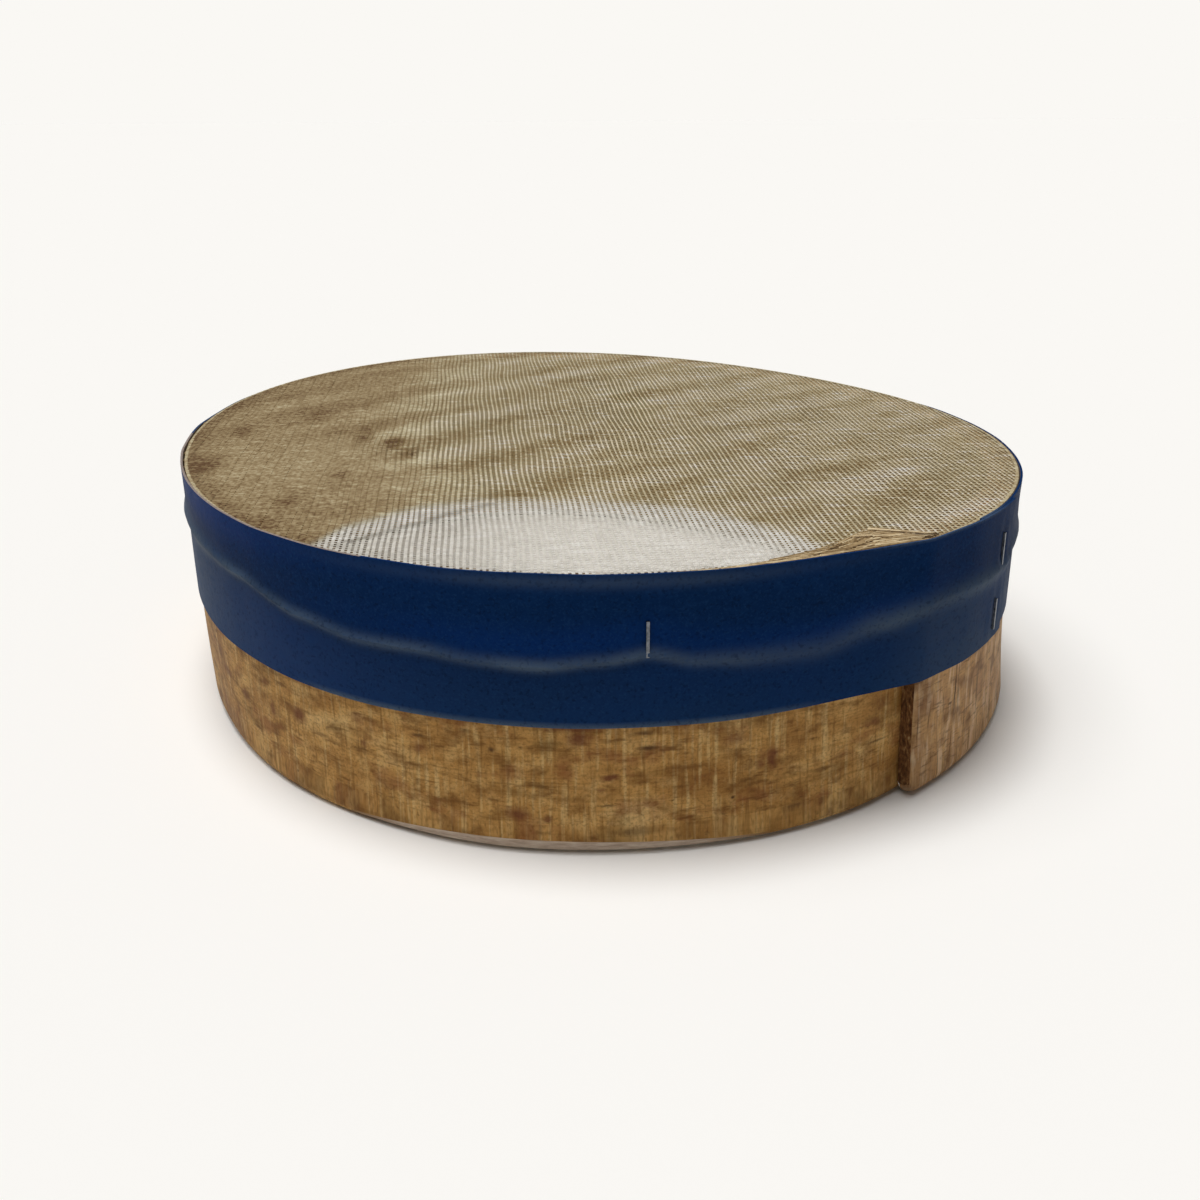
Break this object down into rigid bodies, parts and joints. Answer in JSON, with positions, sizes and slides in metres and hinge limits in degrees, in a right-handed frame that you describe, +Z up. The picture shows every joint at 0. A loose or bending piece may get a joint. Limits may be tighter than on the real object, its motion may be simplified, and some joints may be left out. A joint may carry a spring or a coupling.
{
  "type": "tamis drum sieve",
  "caption": "Shallow round drum sieve: a lapped bentwood hoop with a net stretched over its top, held by a stapled vinyl band; open below.",
  "frame": {"origin": "centre of the hoop on the surface that it stands on", "axes": "+Z up through the drum, net on top; -Y is the front that the picture shows"},
  "size_m": [0.3082, 0.3194, 0.086],
  "materials": {
    "wood": "stained and worn",
    "net": "woven thread",
    "vinyl": "semi-matt vinyl",
    "steel": "galvanised wire"
  },
  "bodies": {
    "root": {"hoop": "wood", "lap_tacks": "steel", "net_face": "net", "net_skirt": "net", "band": "vinyl", "staple_front": "steel", "staple_left": "steel", "staple_back": "steel", "staple_end_upper": "steel", "staple_end_lower": "steel"}
  },
  "joints": []
}
